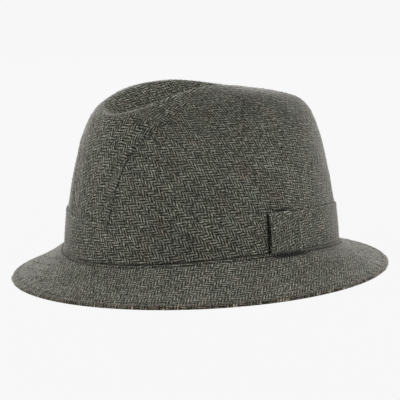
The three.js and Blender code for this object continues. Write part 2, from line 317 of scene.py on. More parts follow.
def tweed(name, light, dark):
    """Herringbone tweed that reads the piece's own pattern, in mm, from its UV map."""
    material, tree = blank_material(name)
    pattern = add(tree, "ShaderNodeUVMap", uv_map="cloth")

    # Hand-fed yarn wanders a little, and its hairy edges are uneven, so the pattern is shifted by a slow noise
    # and by a quick one before it is read.
    shifted = pattern
    for scale, reach in (YARN_WANDER, YARN_FRAY):
        wander = add(tree, "ShaderNodeTexNoise", {"Vector": pattern, "Scale": scale, "Detail": 2.0})
        centred = add(tree, "ShaderNodeVectorMath", {0: wander.outputs["Color"], 1: (0.5, 0.5, 0.5)},
                      operation="SUBTRACT")
        scaled = add(tree, "ShaderNodeVectorMath", {0: centred, "Scale": reach}, operation="SCALE")
        shifted = add(tree, "ShaderNodeVectorMath", {0: shifted, 1: scaled}, operation="ADD")
    place = add(tree, "ShaderNodeSeparateXYZ", {0: shifted})

    # Count yarns. Folding the count of ends back and forth turns the diagonal at each stripe, and a shift of
    # half a repeat there breaks it, so that a light float always ends against a dark one. Then find where on its
    # float, and where across its width, the yarn on top is met. Each row is a name, an operation, and numbers or
    # names of earlier rows. CHOOSE takes its second where its first is 0, and its third where that is 1.
    made = {"across": place.outputs[0], "along": place.outputs[1]}
    for step, operation, *names in (
        ("ends", "MULTIPLY", "across", 1 / END_SPACING),
        ("picks", "MULTIPLY", "along", 1 / PICK_SPACING),
        ("folded", "PINGPONG", "ends", ENDS_IN_STRIPE),
        ("end_index", "FLOOR", "folded"),
        ("end_part", "FRACT", "folded"),
        ("pick_index", "FLOOR", "picks"),
        ("pick_part", "FRACT", "picks"),
        ("stripes", "DIVIDE", "ends", ENDS_IN_STRIPE),
        ("stripe", "FLOOR", "stripes"),
        ("broken", "MULTIPLY_ADD", "stripe", FLOAT_LENGTH, "pick_index"),
        ("both", "ADD", "end_index", "broken"),
        ("order", "FLOORED_MODULO", "both", TWILL_REPEAT),
        ("repeats", "DIVIDE", "both", TWILL_REPEAT),
        ("float_index", "FLOOR", "repeats"),
        ("end_on_top", "LESS_THAN", "order", FLOAT_LENGTH - 0.5),
        ("end_walk", "ADD", "order", "pick_part"),
        ("pick_order", "SUBTRACT", "order", FLOAT_LENGTH),
        ("pick_walk", "ADD", "pick_order", "end_part"),
        ("walk", "CHOOSE", "end_on_top", "pick_walk", "end_walk"),
        ("width", "CHOOSE", "end_on_top", "pick_part", "end_part"),
        ("walk_turn", "MULTIPLY", "walk", math.pi / FLOAT_LENGTH),
        ("width_turn", "MULTIPLY", "width", math.pi),
        ("rise", "SINE", "walk_turn"),
        ("roundness", "SINE", "width_turn"),
        ("height", "MULTIPLY", "rise", "roundness"),
        ("end_number", "FLOOR", "ends"),
        ("yarn", "CHOOSE", "end_on_top", "pick_index", "end_number"),
    ):
        values = [made.get(name, name) for name in names]
        if operation == "CHOOSE":
            made[step] = add(tree, "ShaderNodeMix", dict(zip((0, 2, 3), values)))
        else:
            made[step] = add(tree, "ShaderNodeMath", dict(enumerate(values)), operation=operation)
    height, end_on_top = made["height"], made["end_on_top"]

    # Four noises: how the wools are mixed, thick and thin places in the yarn, clouds from milling, and tints.
    carding, slubs, clouds, tints = (
        add(tree, "ShaderNodeTexNoise", {"Vector": pattern, "Scale": scale, "Detail": detail, "Roughness": rough})
        for scale, detail, rough in ((0.9, 3.0, 0.7), (0.5, 2.0, 0.65), (0.06, 2.0, 0.5), (0.07, 3.0, 0.5)))

    # Each float has its own shade, because the wools in the yarn are only half mixed.
    float_place = add(tree, "ShaderNodeCombineXYZ", {0: made["yarn"], 1: made["float_index"]})
    float_shade = add(tree, "ShaderNodeTexWhiteNoise", {0: float_place}, noise_dimensions="2D")
    blend = add(tree, "ShaderNodeMath", {0: float_shade.outputs["Value"], 1: carding}, operation="ADD")
    strength = add(tree, "ShaderNodeMapRange", {0: blend, 1: 0.4, 2: 1.6, 3: 0.3, 4: 1.7})
    blended = add(tree, "ShaderNodeSeparateXYZ", {0: float_shade.outputs["Color"]})
    lightness = add(tree, "ShaderNodeMix", {0: WOOL_BLEND, 2: end_on_top, 3: blended.outputs[1]})
    base = add(tree, "ShaderNodeMix", {0: lightness, 6: linear(dark), 7: linear(light)}, data_type="RGBA")
    # The wool is darker where a yarn sinks under its neighbour: painted shade between the yarns.
    gap_shade = add(tree, "ShaderNodeMapRange", {0: height, 1: 0.0, 2: 0.8, 3: 0.35, 4: 1.0})
    woven = add(tree, "ShaderNodeMath", {0: strength, 1: gap_shade}, operation="MULTIPLY")

    # Thick and thin places leave a grain of two or three millimetres, and milling leaves clouds.
    grain = add(tree, "ShaderNodeMapRange", {0: slubs, 1: 0.28, 2: 0.72, 3: 0.35, 4: 1.65})
    cloudy = add(tree, "ShaderNodeMapRange", {0: clouds, 1: 0.3, 2: 0.7, 3: 0.86, 4: 1.14})
    uneven = add(tree, "ShaderNodeMath", {0: grain, 1: cloudy}, operation="MULTIPLY")
    shade = add(tree, "ShaderNodeMath", {0: woven, 1: uneven}, operation="MULTIPLY")
    wool = add(tree, "ShaderNodeVectorMath", {0: base.outputs[2], "Scale": shade}, operation="SCALE")

    # Faint slow tints of moss and rust come from the coloured wools blended into the yarn.
    tint_steps = add(tree, "ShaderNodeValToRGB", {0: tints})
    ramp = tint_steps.color_ramp
    for position, code in ((0.3, "F5FFFD"), (0.6, "FFFEFD"), (0.72, "FFF3F0")):
        stop = ramp.elements.new(position)
        stop.color = linear(code)
    ramp.elements.remove(ramp.elements[0])
    ramp.elements.remove(ramp.elements[-1])
    tinted = add(tree, "ShaderNodeMix", {0: 1.0, 6: wool, 7: tint_steps},
                 data_type="RGBA", blend_type="MULTIPLY")

    # Each piece brings along an attribute that multiplies its wool: painted shade in seams, grooves and tucks and
    # under the band and tab, painted highlights on crests, folds and rims, painted shade and light over the
    # crown's top, and the yarn tints of the brim's turned edge.
    wool_factor_with_painted_light = add(tree, "ShaderNodeAttribute", attribute_name="wool_factor_with_painted_light")
    with_painted_light = add(tree, "ShaderNodeMix", {0: 1.0, 6: tinted.outputs[2], 7: wool_factor_with_painted_light},
               data_type="RGBA", blend_type="MULTIPLY")

    # To the eye, spun and milled wool is matt, because its loose fibres scatter the light. Where light grazes
    # the cloth they catch it, so a sheen of warm white makes the hat paler towards its outline. The roundness
    # of one yarn, a tenth of a millimetre, would need millions of faces, so a bump gives it.
    relief = add(tree, "ShaderNodeBump", {"Height": height, "Strength": 0.5, "Distance": 0.12 * MM})
    shader = add(tree, "ShaderNodeBsdfPrincipled", {
        "Base Color": with_painted_light.outputs[2],
        "Roughness": 0.92,
        "Specular IOR Level": 0.2,
        "Sheen Weight": FUZZ,
        "Sheen Roughness": 0.3,
        "Sheen Tint": linear("FFFAF5"),
        "Normal": relief,
    })
    add(tree, "ShaderNodeOutputMaterial", {"Surface": shader})
    return material


crown_tweed = tweed("herringbone tweed of the crown", LIGHT_WOOL, DARK_WOOL)
band_tweed = tweed("herringbone tweed of the band", LIGHT_WOOL, DARK_WOOL)
brim_tweed = tweed("herringbone tweed of the brim", BRUSHED_LIGHT_WOOL, BRUSHED_DARK_WOOL)
print("stripe, mm:", ENDS_IN_STRIPE * END_SPACING, "twill repeat, mm:", TWILL_REPEAT * PICK_SPACING)

# %% [markdown]
# ## The form of the crown
#
# A trilby's crown is blocked over wood: its wall leans in, rolls over a shoulder to a ridge, and drops into a
# long dent. The wall is a smooth curve from the foot to the ridge, and the dent a second one from the ridge to
# the keel, the lowest line of the dent. All round the hat the ends of these curves follow three rings: the foot,
# the ridge and the keel. Sizes are in mm, and angles go from the front round by the wearer's left.

# %% Sizes of the crown, partly from the frame
foot_low, foot_high = (np.array(corner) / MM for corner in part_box("band"))
edge_low, edge_high = (np.array(corner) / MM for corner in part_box("brim"))
FOOT_HALF_WIDTH, FOOT_HALF_LENGTH = (foot_high - foot_low)[:2] / 2
FOOT_FORWARD = -(foot_high + foot_low)[1] / 2
EDGE_HALF_WIDTH, EDGE_HALF_LENGTH = (edge_high - edge_low)[:2] / 2
GAP = 0.3
CROWN_CLOTH = 2.0
BAND_CLOTH = 1.0
BAND_HEIGHT = 27.4
FOOT_TUCK = GAP + BAND_CLOTH
FOOT_HEIGHT, FOOT_FRONT_RISE, FOOT_SIDE_RISE = 20.4, 3.2, 4.0
RIDGE_HALF_LENGTH, RIDGE_HALF_WIDTH, RIDGE_FORWARD = 68.6, 26.6, 9.5
RIDGE_WIDER_FRONT, RIDGE_WIDER_ENDS = 0.3, 0.25
RIDGE_HEIGHT, RIDGE_SIDE_RISE = 127.0, 7.8
KEEL_HALF_LENGTH, KEEL_FORWARD, KEEL_HEIGHT, KEEL_FRONT_RISE = 48.0, 11.0, 100.0, 2.0
DENT_FROM_RIDGE, DENT_FROM_KEEL = 0.3, 0.4
WALL_RISE, WALL_BACK_RISE, LEAN_FRONT_BACK, LEAN_SIDE = 105.4, 8.3, 0.136, 0.083
SHOULDER_FRONT, SHOULDER_BACK = 5.0, 34.3
ROLL_DROP, ROLL_LEAN, ROLL_ANGLE, ROLL_SPREAD = 9.0, 16.0, 1.15, 0.5
PINCH_DEPTH, PINCH_ANGLE, PINCH_SPREAD = 2.5, 0.98, 0.32
PINCH_LEVEL, PINCH_LEVEL_SPREAD = 0.487, 0.2
print("foot, half width and length, mm:", round(FOOT_HALF_WIDTH, 1), round(FOOT_HALF_LENGTH, 1))

# %% Rings and curves of the crown


def place(front, left, up):
    """Points from their distances towards the front, towards the wearer's left, and up."""
    return np.stack(np.broadcast_arrays(left, -front, up), -1)


def bezier(start, first, second, end, share):
    """A cubic curve between two points, drawn towards two handles."""
    s = share[..., None]
    return (1 - s) ** 3 * start + 3 * (1 - s) ** 2 * s * first + 3 * (1 - s) * s ** 2 * second + s ** 3 * end


def bell(value, middle, spread, power=2):
    """One in the middle and nothing far off: e to minus a power of the distance from the middle, in spreads."""
    return np.exp(-np.abs((value - middle) / spread) ** power)


def foot_height(angle):
    """The foot is higher at the sides than at the front and back: a wave of two turns and one of one turn."""
    return FOOT_HEIGHT + FOOT_FRONT_RISE * np.cos(angle) - FOOT_SIDE_RISE * np.cos(2 * angle)


def outward(angle):
    """The level direction away from the foot's ellipse."""
    return unit(place(np.cos(angle) * FOOT_HALF_WIDTH, np.sin(angle) * FOOT_HALF_LENGTH, 0.0))


def ridge_point(angle):
    """The crest: an ellipse made wider at its ends, most at the front, that rises towards the sides."""
    along = np.cos(angle)
    return place(
        RIDGE_FORWARD + RIDGE_HALF_LENGTH * along,
        RIDGE_HALF_WIDTH * np.sin(angle) * (1 + RIDGE_WIDER_FRONT * along + RIDGE_WIDER_ENDS * along ** 2),
        RIDGE_HEIGHT - RIDGE_SIDE_RISE * np.cos(2 * angle),
    )


def wall_point(angle, level):
    """The wall: a cubic curve that leaves the foot upwards, leaning in, and comes level onto the ridge.

    On the wearer's left it comes up to the ridge more steeply, because a bell lowers both its handles there.
    A bell-shaped pinch on each side of the front pushes it in, and below the band's edge it is tucked in.
    """
    along, across = np.cos(angle), np.sin(angle)
    foot = place(FOOT_FORWARD + FOOT_HALF_LENGTH * along, FOOT_HALF_WIDTH * across, foot_height(angle))
    lean = place(-LEAN_FRONT_BACK * along, -LEAN_SIDE * across, 1.0)
    out = outward(angle)
    roll = bell(angle, ROLL_ANGLE, ROLL_SPREAD)
    rise = WALL_RISE - WALL_BACK_RISE * along - ROLL_LEAN * roll
    reach = SHOULDER_FRONT + (SHOULDER_BACK - SHOULDER_FRONT) * (0.5 - 0.5 * along) ** 2
    ridge = ridge_point(angle)
    near_ridge = ridge + out * reach[..., None] - place(0, 0, ROLL_DROP * roll)
    point = bezier(foot, foot + lean * rise[..., None], near_ridge, ridge, level)
    under_band = np.clip(1 - (point[..., 2] - foot[..., 2]) / BAND_HEIGHT, 0, 2)
    pinch = bell(np.abs(angle), PINCH_ANGLE, PINCH_SPREAD) * bell(level, PINCH_LEVEL, PINCH_LEVEL_SPREAD)
    return point - out * (PINCH_DEPTH * pinch + FOOT_TUCK * under_band ** 2)[..., None]


def dent_point(angle, depth):
    """The dent: a cubic curve from the ridge to the keel, level at both ends."""
    ridge = ridge_point(angle)
    along = np.cos(angle)
    keel = place(KEEL_FORWARD + KEEL_HALF_LENGTH * along, 0.0, KEEL_HEIGHT + KEEL_FRONT_RISE * along)
    inward = (keel - ridge) * (1, 1, 0)
    return bezier(ridge, ridge + inward * DENT_FROM_RIDGE, keel - inward * DENT_FROM_KEEL, keel, depth)


quarters = np.array([0, math.pi / 2, math.pi])
print("ridge height at front, side and back, mm:", ridge_point(quarters)[:, 2].round(1).tolist())

# %% [markdown]
# ## Cutting the crown into panels
#
# To cut panels the crown is laid flat. Its rings become a family of ellipses with the same two foci: the foot
# is the outermost and the keel is the line between the foci. On this layout the centre panel is simply a strip
# from front to back, and its seams are two curves across the rings.
#
# Blocked cloth is never quite even: slow swells give it soft light and shade, and its nap breaks the outline.
# Real nap is single fibres, too fine to show, so it is drawn as small waves two to four millimetres long.

# %% The crown's flat layout
FOCUS, LAYOUT_STEP = 0.45, 0.002
FOOT_RING = math.acosh(1 / FOCUS)
RIDGE_RING = 0.3 * FOOT_RING
PANEL_HALF_WIDTH, PANEL_BULGE, PANEL_BULGE_AT = 0.2, 0.113, 0.38
PANEL_SPREAD_FRONT, PANEL_SPREAD_BACK = 0.3, 0.27
RIDGE_STATION, KEEL_STATION = 0.4, 0.57
SEAM_BOW = 6
PANEL_ROWS = 341
NAP_HEIGHT, NAP_COUNT, NAP_SHORTEST, NAP_LONGEST = 0.11, 12, 2.0, 4.0
lots = np.random.default_rng(11)
NAP_WAVES = unit(lots.normal(size=(NAP_COUNT, 3))) * (
    2 * math.pi / np.linspace(NAP_SHORTEST, NAP_LONGEST, NAP_COUNT))[:, None]
NAP_PHASES = lots.uniform(0, 2 * math.pi, NAP_COUNT)


def ring_and_angle_at(along, across):
    """Ring and angle of a place on the layout, from the sum and difference of its distances to the foci."""
    to_front = np.hypot(along - FOCUS, across)
    to_back = np.hypot(along + FOCUS, across)
    ring = np.arccosh(np.maximum(1, (to_front + to_back) / (2 * FOCUS)))
    return ring, np.arccos(np.clip((to_back - to_front) / (2 * FOCUS), -1, 1)) * np.where(across < 0, -1, 1)


def crown_at(along, across):
    """A point of the crown from its place on the layout."""
    ring, angle = ring_and_angle_at(along, across)
    wall = wall_point(angle, (FOOT_RING - ring) / (FOOT_RING - RIDGE_RING))
    dent = dent_point(angle, np.clip(1 - ring / RIDGE_RING, 0, 1))
    return np.where((ring >= RIDGE_RING)[..., None], wall, dent)


def crown_normal(along, across):
    """Outward direction, from small steps along and across the layout."""
    ahead = crown_at(along + LAYOUT_STEP, across) - crown_at(along - LAYOUT_STEP, across)
    aside = crown_at(along, across + LAYOUT_STEP) - crown_at(along, across - LAYOUT_STEP)
    return unit(np.cross(ahead, aside))


def panel_half_width(along):
    """The strip's half width: even, with a bell-shaped bulge in front of the middle."""
    spread = np.where(along > PANEL_BULGE_AT, PANEL_SPREAD_FRONT, PANEL_SPREAD_BACK)
    return PANEL_HALF_WIDTH + PANEL_BULGE * bell(along, PANEL_BULGE_AT, spread)


def seam_stations():
    """Stations from the front foot over the top to the back foot: the strip's middle and its seam.

    Across the rings the stations are even. Along the keel they follow a cosine, which crowds them at its ends.
    Near the foot the seam's stations are drawn in by a steep power, onto the foot ring.
    """
    station = np.linspace(0, 1, PANEL_ROWS)
    to_middle = 1 - np.abs(1 - 2 * station)
    rings = np.interp(to_middle, (0, RIDGE_STATION, KEEL_STATION), (FOOT_RING, RIDGE_RING, 0))
    keel = FOCUS * np.cos((to_middle - KEEL_STATION) / (1 - KEEL_STATION) * math.pi / 2)
    middle = np.where(to_middle < KEEL_STATION, FOCUS * np.cosh(rings), keel)
    side = np.where(station > 0.5, -1, 1)
    at_foot = np.sqrt(1 - (panel_half_width(side * 1.0) / (FOCUS * math.sinh(FOOT_RING))) ** 2)
    seam_along = side * middle * (1 - (1 - at_foot) * middle ** SEAM_BOW)
    return side * middle, seam_along, panel_half_width(seam_along)


def softness(points):
    """Gentle swells of loose cloth: products of crossed waves 25 to 130 mm long, at most 0.6 mm high in all.

    The nap is added to them: the sum of a dozen short waves, in directions drawn by lot.
    """
    x, y, z = np.moveaxis(points, -1, 0)
    swells = (0.28 * np.sin(x / 9 + 1.3) * np.sin(y / 13 + 0.4) * np.cos(z / 11)
              + 0.22 * np.sin(y / 7.5 + z / 16 + 2.1) * np.cos(x / 14 - z / 21)
              + 0.12 * np.sin(x / 4.1 + y / 5.3) * np.sin(z / 4.7))
    nap = sum(np.sin(points @ wave + phase) for wave, phase in zip(NAP_WAVES, NAP_PHASES))
    return swells + NAP_HEIGHT * nap / math.sqrt(NAP_COUNT / 2)


widest = crown_at(np.full(2, PANEL_BULGE_AT), np.array([-1, 1]) * panel_half_width(PANEL_BULGE_AT))
print("centre panel across its widest place, mm:", round(float(np.linalg.norm(widest[1] - widest[0])), 1))

# %% [markdown]
# ## Sewing the panels
#
# At a seam the cloth turns inwards, and each stitch draws it down a little. That is what makes a seam show:
# a narrow groove with a row of small puckers beside it, and a faint step where the cloth is folded back inside.

# %% Seam relief
SEAM_DIP, SEAM_DIP_CHANGE, SEAM_REACH = 0.55, 0.2, 0.6
SEAM_TOP, SEAM_FADE = 101.0, 4.0
SEAM_ALLOWANCE, SEAM_STEP, SEAM_STEP_FADE = 6.0, 0.25, 0.625
PUCKER_HEIGHT, PUCKER_LENGTH, PUCKER_REACH = 0.16, 5.5, 4.5


def step_up(value, at, over):
    """A smooth step from nothing to one, by the logistic curve."""
    return 1 / (1 + np.exp(-(value - at) / over))


def below_crest(height):
    """One on the wall and nothing on the ridge: there the seam lies flat and hidden."""
    return 1 - step_up(height, SEAM_TOP, SEAM_FADE)


def seam_relief(distance, walked, height):
    """Height beside a seam: a dip at the edge, a raised fold behind it, and puckers that fade away from it."""
    tight = SEAM_DIP + SEAM_DIP_CHANGE * np.sin(walked / 2.3) * np.sin(walked / 5.9 + 1)
    dip = -tight * bell(distance, 0, SEAM_REACH)
    fold = SEAM_STEP * (1 - step_up(distance, SEAM_ALLOWANCE, SEAM_STEP_FADE))
    uneven = np.sin(2 * math.pi * walked / PUCKER_LENGTH + 1.7 * np.sin(walked / 11))
    return (dip + PUCKER_HEIGHT * uneven * bell(distance, 0, PUCKER_REACH, 1)) * below_crest(height) + fold


beside_seam = seam_relief(np.linspace(0, 10, 101), np.full(101, 2.0), np.full(101, 60.0))
print("beside a seam, lowest and highest, mm:", round(beside_seam.min(), 2), round(beside_seam.max(), 2))

# %% [markdown]
# ## Painted shade and light on the wool
#
# The wool is not one shade all over, and much of that is painted light: painted shade at the left shoulder,
# painted light in the dent, and painted highlights along the front left of the crest and on the folds and rims
# of the band and tab. The shadows in the seam, under the band and behind the tab are finer than a point of the
# picture, and the render would lose them, so they are drawn in the wool too, as painted shadows about a
# millimetre wide. All this goes with each piece as the attribute named wool_factor_with_painted_light.

# %% Painted shade and light, as factors for the wool
# A painted shadow line in each seam, deeper at each stitch.
SEAM_SHADE, SEAM_SHADE_REACH = 0.88, 0.6
STITCH_SPACING, STITCH_SHARE = 3.2, 0.45
# A painted highlight along the front left of the crest.
CREST_HIGHLIGHT, CREST_REACH, CREST_ANGLE, CREST_SPREAD = 0.6, 1.8, 0.75, 0.75
# Painted shade at the left shoulder, and painted light in the dent.
SHOULDER_PAINTED_SHADE, SHOULDER_SHADE_HEIGHT, SHOULDER_SHADE_HEIGHT_FADE, SHOULDER_SHADE_OUT, SHOULDER_SHADE_OUT_FADE = 0.17, 108.0, 4.0, 30.0, 5.0
DENT_PAINTED_LIGHT, DENT_LIGHT_HEIGHT, DENT_LIGHT_HEIGHT_FADE, DENT_LIGHT_OUT, DENT_LIGHT_SPREAD = 0.24, 98.0, 4.0, -12.0, 22.0
# A painted shadow line under the band, and painted shade behind the tab's upper edge.
HEM_MIDDLE, HEM_SPREAD, HEM_LEAST = 0.85, 1.35, 0.35
OVER_TAB, OVER_TAB_HEIGHT, OVER_TAB_REACH = 0.95, 27.8, 1.0
OVER_TAB_ANGLE, OVER_TAB_SPREAD = 1.62, 0.085


def painted_top_shade_and_light(points):
    """Painted shade at the left shoulder, by steps in height and outwards, and painted light in a bell over the
    dent.
    """
    left, height = points[..., 0], points[..., 2]
    shoulder_shade = SHOULDER_PAINTED_SHADE * step_up(height, SHOULDER_SHADE_HEIGHT, SHOULDER_SHADE_HEIGHT_FADE) * step_up(left, SHOULDER_SHADE_OUT, SHOULDER_SHADE_OUT_FADE)
    dent_light = DENT_PAINTED_LIGHT * step_up(height, DENT_LIGHT_HEIGHT, DENT_LIGHT_HEIGHT_FADE) * bell(left, DENT_LIGHT_OUT, DENT_LIGHT_SPREAD)
    return (1 - shoulder_shade) * (1 + dent_light)


def hem_strength(angle):
    """The painted shadow line under the band: full over the left front, by a flat-topped bell, fainter elsewhere.
    """
    away = np.angle(np.exp(1j * (angle - HEM_MIDDLE)))
    return HEM_LEAST + (1 - HEM_LEAST) * bell(away, 0, HEM_SPREAD, 6)


def over_tab(angle, height):
    """The shade behind the tab's upper edge, over the wall and the band: a bell across it, flat along it."""
    across = bell(height, OVER_TAB_HEIGHT, OVER_TAB_REACH)
    return 1 - OVER_TAB * across * bell(angle, OVER_TAB_ANGLE, OVER_TAB_SPREAD, 6)


def crown_painted_light(distance, walked, base, angle):
    """Painted shadow in a seam: a narrow dark bell, deeper at each stitch by a wave along it, and gone near the
    ridge.

    The front left part of the ridge gets a painted highlight, by a bell across it and a flat-topped one along it.
    The painted shade behind the tab and the painted shade and light over the top are multiplied in.
    """
    stitch = 0.5 + 0.5 * np.cos(2 * math.pi * walked / STITCH_SPACING)
    line = bell(distance, 0, SEAM_SHADE_REACH) * below_crest(base[..., 2])
    from_crest = np.linalg.norm(base - ridge_point(angle), axis=-1)
    highlight_mask = bell(from_crest, 0, CREST_REACH) * bell(angle, CREST_ANGLE, CREST_SPREAD, 4)
    seam = 1 - SEAM_SHADE * line * (1 - STITCH_SHARE + STITCH_SHARE * stitch)
    shade = seam * over_tab(angle, base[..., 2] - foot_height(angle))
    return (shade * (1 + CREST_HIGHLIGHT * highlight_mask) * painted_top_shade_and_light(base))[..., None]


quarter_turns = np.array([0, math.pi / 2, math.pi, -math.pi / 2])
print("line under the band at front, left, back and right:", hem_strength(quarter_turns).round(2).tolist())

# %% [markdown]
# ## The three panels
#
# A panel could be one flat grid, trimmed along its seam. Here its grid follows the seam, so its edge is clean.
# The pattern is the distance walked on the cloth: straight over the centre panel, and round a cone for the side
# panels, which are cut as a curve.

# %% Lay out and sew the panels
SEAM_HALF_GAP, RIM_ROUND = 0.06, 0.12
CENTRE_COLUMNS, SIDE_COLUMNS = 111, 111
CENTRE_CROWDING, SIDE_CROWDING = 0.8, 1.5
CENTRE_STRIPES, SIDE_STRIPES = math.radians(59), math.radians(-32)
CONE_RADIUS = 640.0
STITCH_SHIFT = 2.0


def round_sheet(outer, inner, pattern, wool_factor_with_painted_light):
    """Loops round a sheet of cloth: over the outer side, round a rim point, back inside, round a rim point.

    The pattern is turned back at each rim, and the wool inside is plain.
    """
    last_rim, first_rim = (
        (outer[:, edge] + inner[:, edge]) / 2 + unit(outer[:, edge] - outer[:, beside]) * RIM_ROUND
        for edge, beside in ((-1, -2), (0, 1)))
    loops = np.concatenate([outer, last_rim[:, None], inner[:, ::-1], first_rim[:, None]], 1)
    first, last = pattern[:, :1], pattern[:, -1:]
    pattern = np.concatenate([pattern, last, pattern[:, ::-1], first, first], 1)
    return loops, pattern, np.concatenate([wool_factor_with_painted_light, wool_factor_with_painted_light[:, -1:], np.ones_like(wool_factor_with_painted_light), wool_factor_with_painted_light[:, :1]], 1)


def centre_panel():
    """Cross lines from seam to seam, bowed at the foot, so that the last one follows the foot ring.

    A sine wave crowds the columns at the seams and along the middle of the dent, where the form turns fastest.
    """
    middle, seam_along, seam_across = seam_stations()
    share = np.linspace(-1, 1, CENTRE_COLUMNS)[None]
    share = share - CENTRE_CROWDING * np.sin(2 * math.pi * share) / (2 * math.pi)

    def layout(part):
        along = middle[:, None] + (seam_along - middle)[:, None] * part ** 2
        return along, part * seam_across[:, None]

    first = crown_at(*layout(np.repeat(share, PANEL_ROWS, 0)))
    scale = np.linalg.norm(first[:, -1] - first[:, -2], axis=-1) / (share[0, -1] - share[0, -2])
    part = share * (1 - (SEAM_HALF_GAP + RIM_ROUND) / scale)[:, None]
    along, across = layout(part)
    base, normal = crown_at(along, across), crown_normal(along, across)
    width = arc_lengths(base, 1)
    width = width - width[:, CENTRE_COLUMNS // 2][:, None]
    walked = np.repeat(arc_lengths(base, 0).mean(1)[:, None], CENTRE_COLUMNS, 1)
    distance = np.abs(width[:, -1:]) - np.abs(width)
    relief = seam_relief(distance, walked, base[..., 2]) + softness(base)
    outer = base + normal * relief[..., None]
    inner = base - normal * CROWN_CLOTH
    pattern = turned(width, walked, CENTRE_STRIPES)
    wool_factor_with_painted_light = crown_painted_light(distance, walked, base, ring_and_angle_at(along, across)[1])
    return round_sheet(outer, inner, pattern, wool_factor_with_painted_light)


def slant(angle, level):
    """Length of the wall from the foot up to a level, in two dozen chords."""
    parts = np.linspace(0, 1, 25)[:, None, None]
    chords = np.diff(wall_point(angle, level * parts), axis=0)
    return np.linalg.norm(chords, axis=-1).sum(0)


def side_panel(side):
    """Lines that fan from the seam down to the foot. side is 1 for the wearer's left and -1 for the right.

    The pattern is a cone laid flat: distance along the foot becomes a turn about a far apex.
    """
    _, seam_along, seam_across = seam_stations()
    seam_ring, seam_angle = ring_and_angle_at(seam_along, seam_across)
    foot_angle = np.linspace(seam_angle[0], seam_angle[-1], PANEL_ROWS)
    down = np.linspace(0, 1, SIDE_COLUMNS)[None] ** SIDE_CROWDING

    def ring_and_angle(part):
        ring = seam_ring[:, None] + (FOOT_RING - seam_ring)[:, None] * part
        return ring, seam_angle[:, None] + (foot_angle - seam_angle)[:, None] * part

    def layout(ring, angle):
        return FOCUS * np.cosh(ring) * np.cos(angle), side * FOCUS * np.sinh(ring) * np.sin(angle)

    first = crown_at(*layout(*ring_and_angle(np.repeat(down, PANEL_ROWS, 0))))
    scale = np.linalg.norm(first[:, 1] - first[:, 0], axis=-1) / down[0, 1]
    drawn_back = np.minimum((SEAM_HALF_GAP + RIM_ROUND) / np.maximum(scale, 1e-6), 0.5)
    ring, angle = ring_and_angle(drawn_back[:, None] + (1 - drawn_back)[:, None] * down)
    base, normal = crown_at(*layout(ring, angle)), crown_normal(*layout(ring, angle))
    distance = arc_lengths(base, 1)
    walked = arc_lengths(base[:, :1], 0)
    relief = seam_relief(distance, walked + STITCH_SHIFT, base[..., 2]) + softness(base)
    outer = base + normal * relief[..., None]
    inner = base - normal * CROWN_CLOTH
    turns = np.linspace(0, math.pi, 361)
    foot_walk = arc_lengths(wall_point(turns, 0 * turns), 0)
    turn = np.interp(angle, turns, foot_walk) / CONE_RADIUS
    up = slant(angle, (FOOT_RING - ring) / (FOOT_RING - RIDGE_RING))
    from_apex = CONE_RADIUS - up
    pattern = turned(from_apex * np.sin(turn), CONE_RADIUS - from_apex * np.cos(turn), SIDE_STRIPES)
    wool_factor_with_painted_light = crown_painted_light(distance, walked, base, side * angle)
    return round_sheet(outer, inner, pattern, wool_factor_with_painted_light)


for node, sheet in (
    ("crown_centre", centre_panel()),
    ("crown_side_left", side_panel(1)),
    ("crown_side_right", side_panel(-1)),
):
    panel = closed_mesh(node + "_tweed", *sheet, crown_tweed, "crown_tweed")
    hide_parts(node)

# %% [markdown]
# ## The band
#
# The band is a straight strip of the same tweed, folded at its upper edge and sewn into the foot of the brim.
# It is carried round the wall at a small distance. Its ends meet under the tab, and so does its pattern. Its
# folded edge wavers by a sum of waves, whose counts round the hat are primes, so that they never look regular.

# %% Carry the band round the crown
BAND_TURNS, HALVINGS = 480, 22
BAND_STRIPES = math.radians(-34)
BAND_MIDDLE = 14.0
STRIP_ROUND = 60.0
HEM_TOP, FOLD_FOOT = 2.0, BAND_HEIGHT - 3
FOLD_FULLNESS, FOLD_REACH, HEM_DRAW, HEM_DRAW_REACH = 0.3, 1.5, 0.1, 0.9
LOOSENESS, BAND_SOFTNESS = 0.1, 0.6
TUCK_ANGLE, TUCK_WIDTH, TUCK_DEPTH, TUCK_LINES = 1.4625, 0.008, 0.8, 33
TUCK_SHADE, TUCK_SHADE_ANGLE = 0.93, 1.4649
TAB_MIDDLE = 1.59
# Painted highlights on the fold's crest and on the roll above the hem, and a painted shadow along the hem.
FOLD_HIGHLIGHT, FOLD_HIGHLIGHT_HEIGHT, FOLD_HIGHLIGHT_REACH = 1.2, 27.0, 0.6
HEM_ROLL_HIGHLIGHT, HEM_ROLL_HIGHLIGHT_HEIGHT, HEM_ROLL_HIGHLIGHT_REACH = 0.6, 1.9, 0.5
HEM_SHADE, HEM_REACH = 0.88, 0.75


def over_wall(angle, height, off):
    """A point outside the wall at a height above the foot. The level is found by halving steps."""
    low, high = np.zeros_like(angle + height), np.ones_like(angle + height)
    for _ in range(HALVINGS):
        middle = (low + high) / 2
        below = wall_point(angle, middle)[..., 2] - foot_height(angle) < height
        low, high = np.where(below, middle, low), np.where(below, high, middle)
    return wall_point(angle, low) + outward(angle) * off[..., None]


